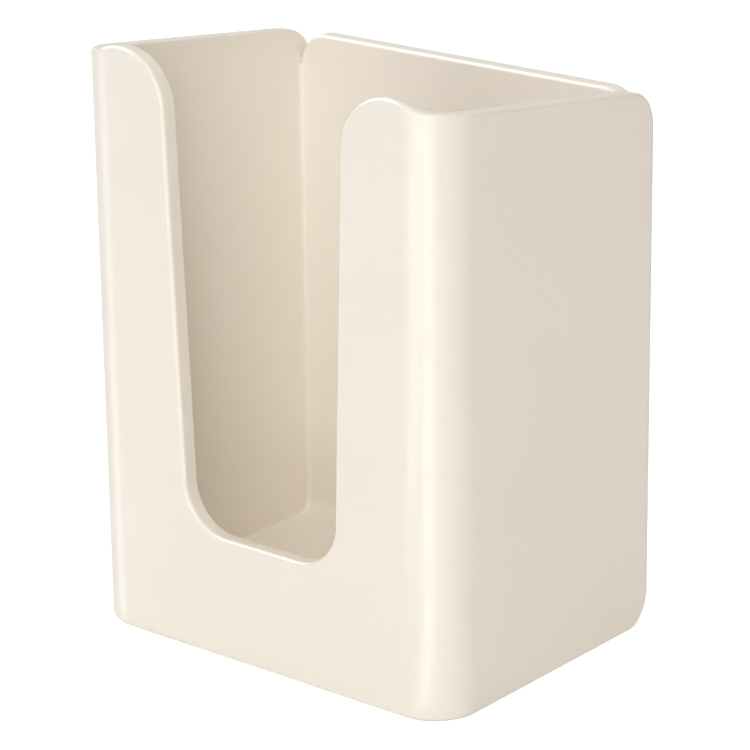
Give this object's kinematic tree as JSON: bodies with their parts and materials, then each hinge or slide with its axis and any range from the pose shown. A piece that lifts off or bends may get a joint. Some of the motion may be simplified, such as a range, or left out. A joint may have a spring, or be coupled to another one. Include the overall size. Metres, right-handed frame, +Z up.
{
  "type": "wall tissue dispenser",
  "caption": "Open-topped moulded plastic box that fixes to a wall and holds a soft pack of tissues upright, with a tall U-shaped notch in front for pulling them out.",
  "frame": {"origin": "middle of the base, on the surface that the box stands on", "axes": "+Z up; +Y towards the wall that the box is fixed to, so the notched front faces -Y; +X to the right as seen from the front"},
  "size_m": [0.11, 0.081, 0.1457],
  "materials": {
    "body": "satin moulded ABS, warm cream"
  },
  "bodies": {
    "root": {"body": "body"}
  },
  "joints": []
}
